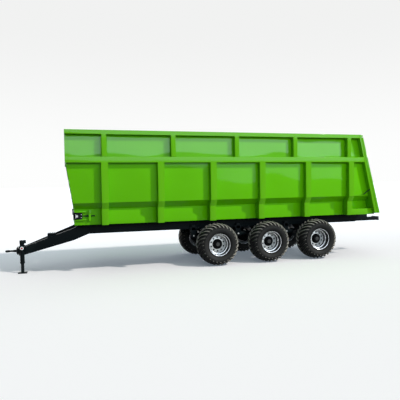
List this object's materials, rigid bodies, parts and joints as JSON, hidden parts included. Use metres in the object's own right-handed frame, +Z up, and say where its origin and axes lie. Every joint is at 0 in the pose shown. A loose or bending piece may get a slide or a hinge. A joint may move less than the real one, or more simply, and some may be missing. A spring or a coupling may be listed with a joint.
{
  "type": "tri-axle farm trailer with chain floor",
  "caption": "Towed farm body trailer with a chain floor, leaning top-hung tailgate, sprung bogie on flotation tyres, bent drawbar, towing eye and parking jack.",
  "frame": {"origin": "on the ground under the middle of the overall length and width", "axes": "+X forward to the towing eye, +Y to the left side, +Z up"},
  "size_m": [10.7232, 2.489, 3.458],
  "materials": {
    "body_green": "gloss",
    "chassis_black": "satin",
    "rim_silver": "satin",
    "tyre": "matte",
    "chain_steel": "worn",
    "lamp_red": "gloss"
  },
  "bodies": {
    "trailer": {"chassis_frame": "chassis_black", "drawbar": "chassis_black", "hitch_flange": "chassis_black", "towing_eye": "chassis_black", "valve_block": "chassis_black", "jack_tube": "chassis_black", "suspension_left": "chassis_black", "suspension_right": "chassis_black", "axle_1": "chassis_black", "axle_2": "chassis_black", "axle_3": "chassis_black", "floor_bearers": "body_green", "floor_deck": "body_green", "chain_floor_left": "chain_steel", "chain_floor_right": "chain_steel", "front_shaft": "chain_steel", "rear_shaft": "chain_steel", "chain_tensioner_left": "chassis_black", "chain_tensioner_right": "chassis_black", "floor_drive": "chassis_black", "side_panel_left": "body_green", "side_panel_right": "body_green", "side_frame_left": "body_green", "side_frame_right": "body_green", "extension_panel_left": "body_green", "extension_panel_right": "body_green", "extension_frame_left": "body_green", "extension_frame_right": "body_green", "front_wall": "body_green", "front_extension": "body_green", "rear_frame": "body_green", "gate_latch_left": "chassis_black", "gate_latch_right": "chassis_black", "rear_lamp_left": "lamp_red", "rear_lamp_right": "lamp_red"},
    "wheel_set_1_left": {"wheel_1_left": "rim_silver", "tyre_1_left": "tyre"},
    "wheel_set_1_right": {"wheel_1_right": "rim_silver", "tyre_1_right": "tyre"},
    "wheel_set_2_left": {"wheel_2_left": "rim_silver", "tyre_2_left": "tyre"},
    "wheel_set_2_right": {"wheel_2_right": "rim_silver", "tyre_2_right": "tyre"},
    "wheel_set_3_left": {"wheel_3_left": "rim_silver", "tyre_3_left": "tyre"},
    "wheel_set_3_right": {"wheel_3_right": "rim_silver", "tyre_3_right": "tyre"},
    "jack": {"jack_leg": "chassis_black"},
    "gate": {"tailgate": "body_green"}
  },
  "joints": [
    {"name": "wheel_1_left_spin", "type": "hinge", "parent": "trailer", "child": "wheel_set_1_left", "pos_m": [0.08265, 0.9595, 0.55], "axis": [0, 1, 0], "continuous": true},
    {"name": "wheel_1_right_spin", "type": "hinge", "parent": "trailer", "child": "wheel_set_1_right", "pos_m": [0.08265, -0.9595, 0.55], "axis": [0, 1, 0], "continuous": true},
    {"name": "wheel_2_left_spin", "type": "hinge", "parent": "trailer", "child": "wheel_set_2_left", "pos_m": [-1.39135, 0.9595, 0.55], "axis": [0, 1, 0], "continuous": true},
    {"name": "wheel_2_right_spin", "type": "hinge", "parent": "trailer", "child": "wheel_set_2_right", "pos_m": [-1.39135, -0.9595, 0.55], "axis": [0, 1, 0], "continuous": true},
    {"name": "wheel_3_left_spin", "type": "hinge", "parent": "trailer", "child": "wheel_set_3_left", "pos_m": [-2.86535, 0.9595, 0.55], "axis": [0, 1, 0], "continuous": true},
    {"name": "wheel_3_right_spin", "type": "hinge", "parent": "trailer", "child": "wheel_set_3_right", "pos_m": [-2.86535, -0.9595, 0.55], "axis": [0, 1, 0], "continuous": true},
    {"name": "jack_slide", "type": "slide", "parent": "trailer", "child": "jack", "axis": [0, 0, 1], "range_m": [0, 0.19]},
    {"name": "tailgate_hinge", "type": "hinge", "parent": "trailer", "child": "gate", "pos_m": [-4.19667, 0, 3.42], "axis": [0, 1, 0], "range_deg": [0, 85]}
  ]
}
